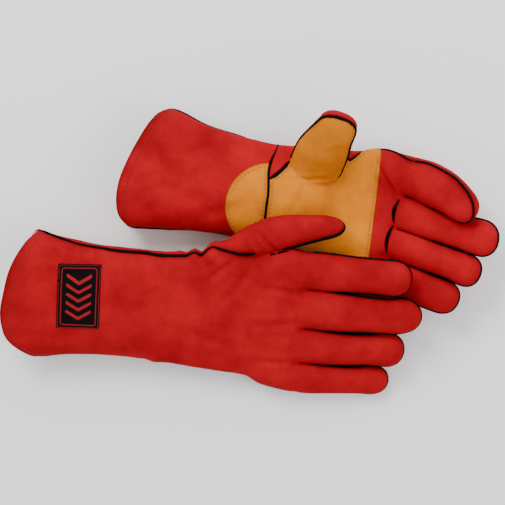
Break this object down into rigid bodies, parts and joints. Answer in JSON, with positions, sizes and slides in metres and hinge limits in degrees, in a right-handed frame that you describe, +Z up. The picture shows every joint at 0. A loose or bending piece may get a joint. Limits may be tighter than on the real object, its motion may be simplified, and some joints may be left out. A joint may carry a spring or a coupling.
{
  "type": "pair of welding gloves",
  "caption": "Long-cuffed leather gauntlet gloves in red with orange palm patches and black seam welts, lying one over the other, for handling hot work.",
  "frame": {"origin": "middle of the pair's footprint, on the surface the gloves lie on", "axes": "+X from the cuffs towards the fingertips, +Y towards the thumbs' side, +Z up off the surface"},
  "size_m": [0.4075, 0.24, 0.0931],
  "materials": {
    "red_leather": "matt split suede",
    "orange_leather": "matt split suede",
    "black_welt": "matt",
    "fleece": "brushed cotton",
    "label_cloth": "woven"
  },
  "bodies": {
    "left_cuff": {"left_cuff_back": "red_leather", "left_cuff_front": "red_leather", "left_cuff_welts": "black_welt", "left_cuff_lining": "fleece", "left_cuff_tab": "orange_leather"},
    "left_hand": {"left_hand_back": "red_leather", "left_palm": "red_leather", "left_palm_patch": "orange_leather", "left_hand_side_welts": "black_welt", "left_lining": "fleece"},
    "left_index": {"left_index_back": "red_leather", "left_index_front": "red_leather", "left_index_fourchettes": "red_leather", "left_index_welt": "black_welt"},
    "left_middle": {"left_middle_back": "red_leather", "left_middle_front": "red_leather", "left_middle_fourchettes": "red_leather", "left_middle_welt": "black_welt"},
    "left_ring": {"left_ring_back": "red_leather", "left_ring_front": "red_leather", "left_ring_fourchettes": "red_leather", "left_ring_welt": "black_welt"},
    "left_little": {"left_little_back": "red_leather", "left_little_front": "red_leather", "left_little_fourchettes": "red_leather", "left_little_welt": "black_welt"},
    "left_thumb": {"left_thumb_back": "red_leather", "left_thumb_front": "orange_leather", "left_thumb_welt": "black_welt"},
    "right_cuff": {"right_cuff_back": "red_leather", "right_cuff_front": "red_leather", "right_cuff_welts": "black_welt", "right_cuff_lining": "fleece", "right_cuff_tab": "orange_leather", "right_cuff_label": "label_cloth"},
    "right_hand": {"right_hand_back": "red_leather", "right_palm": "red_leather", "right_palm_patch": "orange_leather", "right_hand_side_welts": "black_welt", "right_lining": "fleece"},
    "right_index": {"right_index_back": "red_leather", "right_index_front": "red_leather", "right_index_fourchettes": "red_leather", "right_index_welt": "black_welt"},
    "right_middle": {"right_middle_back": "red_leather", "right_middle_front": "red_leather", "right_middle_fourchettes": "red_leather", "right_middle_welt": "black_welt"},
    "right_ring": {"right_ring_back": "red_leather", "right_ring_front": "red_leather", "right_ring_fourchettes": "red_leather", "right_ring_welt": "black_welt"},
    "right_little": {"right_little_back": "red_leather", "right_little_front": "red_leather", "right_little_fourchettes": "red_leather", "right_little_welt": "black_welt"},
    "right_thumb": {"right_thumb_back": "red_leather", "right_thumb_front": "orange_leather", "right_thumb_welt": "black_welt"}
  },
  "joints": [
    {"name": "left_wrist_bend", "type": "hinge", "parent": "left_cuff", "child": "left_hand", "pos_m": [0.0044, 0.0408, 0.0223], "axis": [-0.0976, -0.9946, -0.0349], "range_deg": [-15, 0], "stiffness_Nm_per_rad": 0.6},
    {"name": "left_index_bend", "type": "hinge", "parent": "left_hand", "child": "left_index", "pos_m": [0.12558, 0.06909, 0.01751], "axis": [-0.2435, -0.9695, -0.0267], "range_deg": [-30, 25], "stiffness_Nm_per_rad": 0.25, "deforming": ["left_lining"]},
    {"name": "left_middle_bend", "type": "hinge", "parent": "left_hand", "child": "left_middle", "pos_m": [0.1229, 0.04174, 0.01655], "axis": [-0.2095, -0.9774, -0.0287], "range_deg": [-30, 20], "stiffness_Nm_per_rad": 0.25, "deforming": ["left_lining"]},
    {"name": "left_ring_bend", "type": "hinge", "parent": "left_hand", "child": "left_ring", "pos_m": [0.12021, 0.01439, 0.01559], "axis": [-0.2265, -0.9736, -0.0277], "range_deg": [-30, 0], "stiffness_Nm_per_rad": 0.25, "deforming": ["left_lining"]},
    {"name": "left_little_bend", "type": "hinge", "parent": "left_hand", "child": "left_little", "pos_m": [0.11767, -0.01147, 0.01469], "axis": [-0.3187, -0.9476, -0.0222], "range_deg": [-30, 0], "stiffness_Nm_per_rad": 0.25, "deforming": ["left_lining"]},
    {"name": "left_thumb_swing", "type": "hinge", "parent": "left_hand", "child": "left_thumb", "pos_m": [0.04561, 0.06193, 0.02113], "axis": [0.0487, -0.0398, 0.998], "range_deg": [-22, 8], "stiffness_Nm_per_rad": 0.3, "deforming": ["left_lining"]},
    {"name": "right_wrist_bend", "type": "hinge", "parent": "right_cuff", "child": "right_hand", "pos_m": [-0.0696, -0.0634, 0.0309], "axis": [-0.0313, 0.945, 0.3256], "range_deg": [-15, 0], "stiffness_Nm_per_rad": 0.6},
    {"name": "right_index_bend", "type": "hinge", "parent": "right_hand", "child": "right_index", "pos_m": [0.05397, -0.01824, 0.04503], "axis": [-0.0313, 0.945, 0.3256], "range_deg": [-15, 0], "stiffness_Nm_per_rad": 0.25, "deforming": ["right_lining"]},
    {"name": "right_middle_bend", "type": "hinge", "parent": "right_hand", "child": "right_middle", "pos_m": [0.05492, -0.04688, 0.03517], "axis": [-0.0383, 0.9447, 0.3256], "range_deg": [-25, 0], "stiffness_Nm_per_rad": 0.25, "deforming": ["right_lining"]},
    {"name": "right_ring_bend", "type": "hinge", "parent": "right_hand", "child": "right_ring", "pos_m": [0.05587, -0.07551, 0.0253], "axis": [-0.0558, 0.9439, 0.3255], "range_deg": [-25, 30], "stiffness_Nm_per_rad": 0.25, "deforming": ["right_lining"]},
    {"name": "right_little_bend", "type": "hinge", "parent": "right_hand", "child": "right_little", "pos_m": [0.05675, -0.10197, 0.01618], "axis": [-0.0697, 0.943, 0.3253], "range_deg": [-25, 30], "stiffness_Nm_per_rad": 0.25, "deforming": ["right_lining"]},
    {"name": "right_thumb_swing", "type": "hinge", "parent": "right_hand", "child": "right_thumb", "pos_m": [-0.01895, -0.02199, 0.04457], "axis": [0.0108, -0.3254, 0.9455], "range_deg": [0, 15], "stiffness_Nm_per_rad": 0.3, "deforming": ["right_lining"]},
    {"name": "right_glove_lift", "type": "slide", "parent": "left_cuff", "child": "right_cuff", "axis": [0, 0, 1], "range_m": [0, 0.15]}
  ]
}
